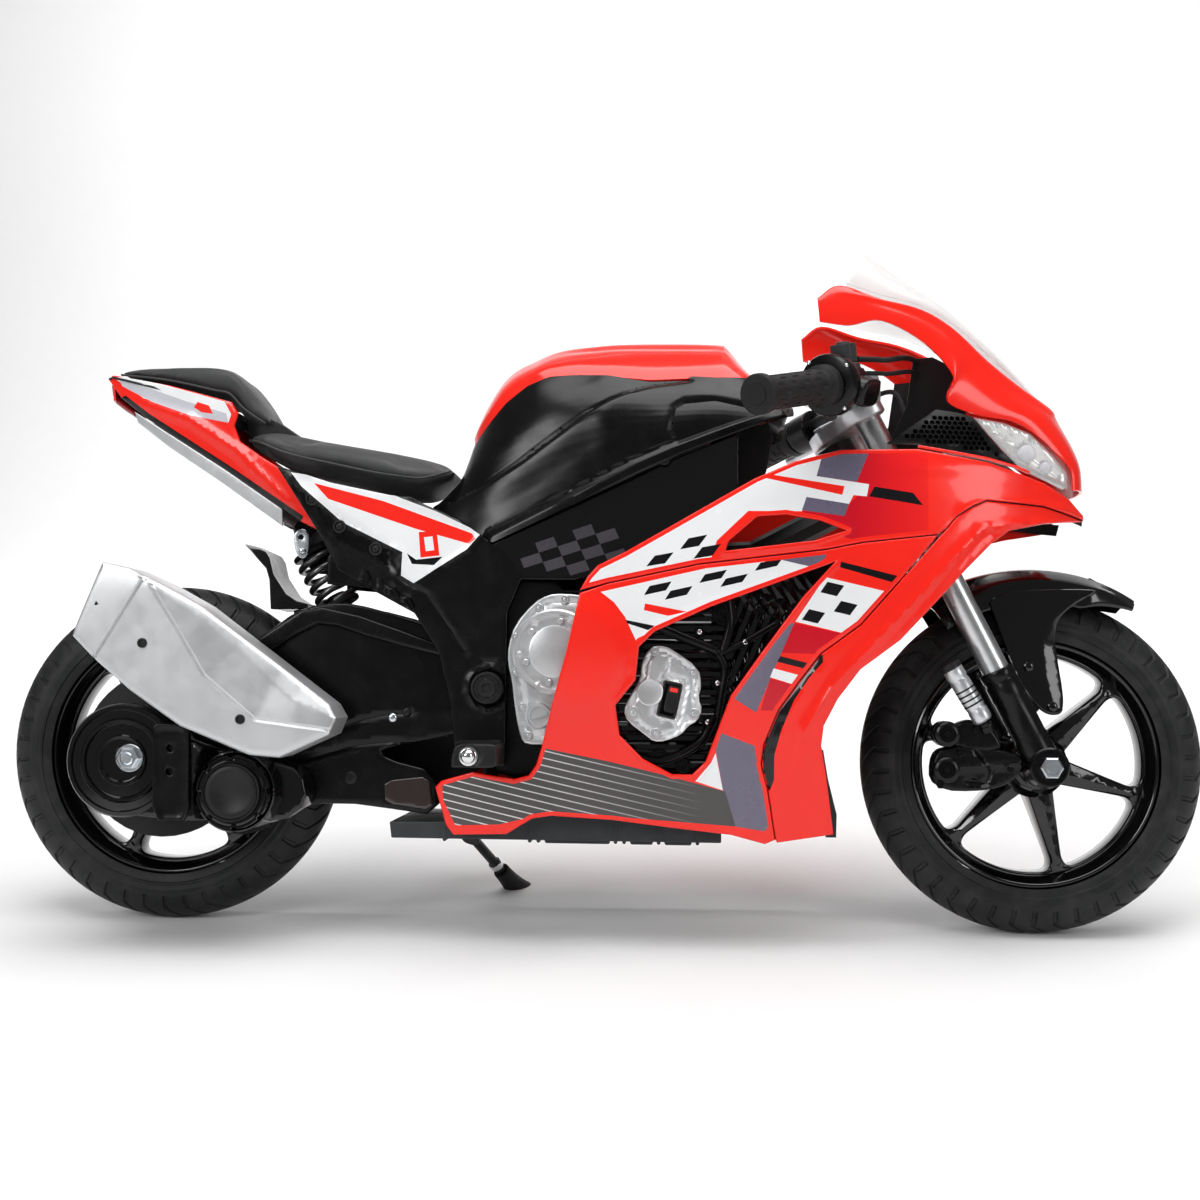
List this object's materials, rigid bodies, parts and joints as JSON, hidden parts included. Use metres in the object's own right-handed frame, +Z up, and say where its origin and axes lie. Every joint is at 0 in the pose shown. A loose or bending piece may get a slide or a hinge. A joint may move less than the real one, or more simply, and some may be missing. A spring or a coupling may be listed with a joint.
{
  "type": "ride-on electric toy motorcycle",
  "caption": "Child's ride-on electric sport motorcycle with full fairing, twist grip, sprung fork and swingarm, resting on its side stand.",
  "frame": {"origin": "bottom centre of the bounding box, on the ground between the two tyres and the side stand foot", "axes": "+X forward along the bike, +Y to the bike's left, +Z up; the bike leans 8 degrees to +Y onto its side stand"},
  "size_m": [1.159, 0.4871, 0.6536],
  "materials": {
    "red_gloss": null,
    "black_gloss": "glossy black moulded plastic",
    "black_satin": "satin black moulded plastic with a fine grain",
    "dark_grey": "dark grey moulded plastic",
    "silver_plastic": "silver painted plastic, satin",
    "tyre_rubber": "black tyre rubber, slightly dusty",
    "grip_rubber": "soft ribbed grip rubber",
    "seat_vinyl": "dark grey soft grained vinyl over foam",
    "fork_steel": "bright plated steel tube",
    "zinc_steel": "bright zinc-plated steel",
    "frame_steel": "black powder-coated steel",
    "alloy": "satin aluminium",
    "clear_screen": "clear moulded windscreen plastic",
    "lamp_lens": "clear lamp lens over a bright reflector and a black inlet mesh",
    "tail_lens": "dark red lamp plastic",
    "battery_case": "battery case plastic",
    "cable_sheath": "black cable sheath"
  },
  "bodies": {
    "root": {"frame_spine": "frame_steel", "battery": "battery_case", "tank_cover": "black_satin", "tank_cap": "red_gloss", "seat": "seat_vinyl", "tail_cowl": "red_gloss", "pillion_pad": "seat_vinyl", "tail_tray": "silver_plastic", "tail_light": "tail_lens", "side_panel_right": "black_satin", "side_panel_left": "black_satin", "fairing_upper_right": "red_gloss", "fairing_upper_left": "red_gloss", "fairing_lower_right": "red_gloss", "fairing_lower_left": "red_gloss", "fairing_front_right": "red_gloss", "fairing_front_left": "red_gloss", "nose_cowl": "red_gloss", "windscreen": "clear_screen", "headlight_right": "lamp_lens", "headlight_left": "lamp_lens", "belly_pan": "dark_grey", "engine_block": "black_satin", "clutch_cover": "silver_plastic", "switch_cover": "silver_plastic", "foot_peg_right": "black_satin", "foot_peg_left": "black_satin", "swingarm_bolt": "dark_grey", "rear_spring": "zinc_steel"},
    "rocker": {"rocker_switch": "black_satin"},
    "kickstand": {"kickstand_leg": "frame_steel", "kickstand_foot": "grip_rubber"},
    "steering": {"steering_stem": "frame_steel", "upper_yoke": "alloy", "handlebar": "frame_steel", "throttle_housing": "black_satin", "left_grip": "grip_rubber", "brake_perch": "black_satin", "fork_tube_right": "fork_steel", "fork_tube_left": "fork_steel", "control_cables": "cable_sheath"},
    "throttle": {"throttle_grip": "grip_rubber"},
    "brake_lever": {"brake_lever": "alloy"},
    "fork_slider": {"fork_leg_right": "black_satin", "fork_leg_left": "black_satin", "front_fender": "black_gloss", "front_axle": "zinc_steel", "brake_caliper": "black_satin"},
    "front_wheel": {"front_rim": "black_gloss", "front_tyre": "tyre_rubber"},
    "swingarm": {"swingarm": "black_satin", "rear_axle": "zinc_steel", "drive_cover": "black_satin", "drive_motor": "frame_steel", "muffler": "silver_plastic", "rear_mudguard": "black_gloss"},
    "pinion": {"motor_pinion": "dark_grey"},
    "rear_wheel": {"rear_rim": "black_gloss", "rear_tyre": "tyre_rubber", "drive_gear": "dark_grey"}
  },
  "joints": [
    {"name": "steering_turn", "type": "hinge", "parent": "root", "child": "steering", "pos_m": [0.25585, -0.00905, 0.41303], "axis": [-0.454, 0.124, 0.8823], "range_deg": [-25, 25]},
    {"name": "fork_slide", "type": "slide", "parent": "steering", "child": "fork_slider", "axis": [-0.454, 0.124, 0.8823], "range_m": [0, 0.025], "stiffness_N_per_m": 1500, "springref_m": -0.08},
    {"name": "front_wheel_spin", "type": "hinge", "parent": "fork_slider", "child": "front_wheel", "pos_m": [0.417, -0.04448, 0.16092], "axis": [0, 0.9903, -0.1392], "continuous": true},
    {"name": "swingarm_pivot", "type": "hinge", "parent": "root", "child": "swingarm", "pos_m": [-0.099, -0.03523, 0.22677], "axis": [0, 0.9903, -0.1392], "range_deg": [0, 4], "stiffness_Nm_per_rad": 300, "springref_deg": -9.74, "deforming": ["rear_spring"]},
    {"name": "rear_wheel_spin", "type": "hinge", "parent": "swingarm", "child": "rear_wheel", "pos_m": [-0.417, -0.04448, 0.16092], "axis": [0, 0.9903, -0.1392], "continuous": true},
    {"name": "pinion_spin", "type": "hinge", "parent": "swingarm", "child": "pinion", "pos_m": [-0.323, -0.04859, 0.13171], "axis": [0, 0.9903, -0.1392], "continuous": true},
    {"name": "throttle_twist", "type": "hinge", "parent": "steering", "child": "throttle", "pos_m": [0.212, -0.1305, 0.51887], "axis": [-0.5751, -0.8108, -0.1088], "range_deg": [0, 60], "stiffness_Nm_per_rad": 0.15, "springref_deg": -20.05},
    {"name": "brake_lever_pull", "type": "hinge", "parent": "steering", "child": "brake_lever", "pos_m": [0.248, 0.13742, 0.48526], "axis": [0, 0.1392, 0.9903], "range_deg": [0, 10], "stiffness_Nm_per_rad": 0.6, "springref_deg": -17.19},
    {"name": "kickstand_fold", "type": "hinge", "parent": "root", "child": "kickstand", "pos_m": [-0.13, -0.0097, 0.0707], "axis": [0.207, 0.6436, 0.7368], "range_deg": [0, 90]},
    {"name": "rocker_tip", "type": "hinge", "parent": "root", "child": "rocker", "pos_m": [0.071, -0.14725, 0.23444], "axis": [0.9781, -0.0289, -0.2059], "range_deg": [-6, 6]}
  ],
  "couplings": [
    {"joint": "pinion_spin", "follows": "rear_wheel_spin", "ratio": -4.4511}
  ]
}
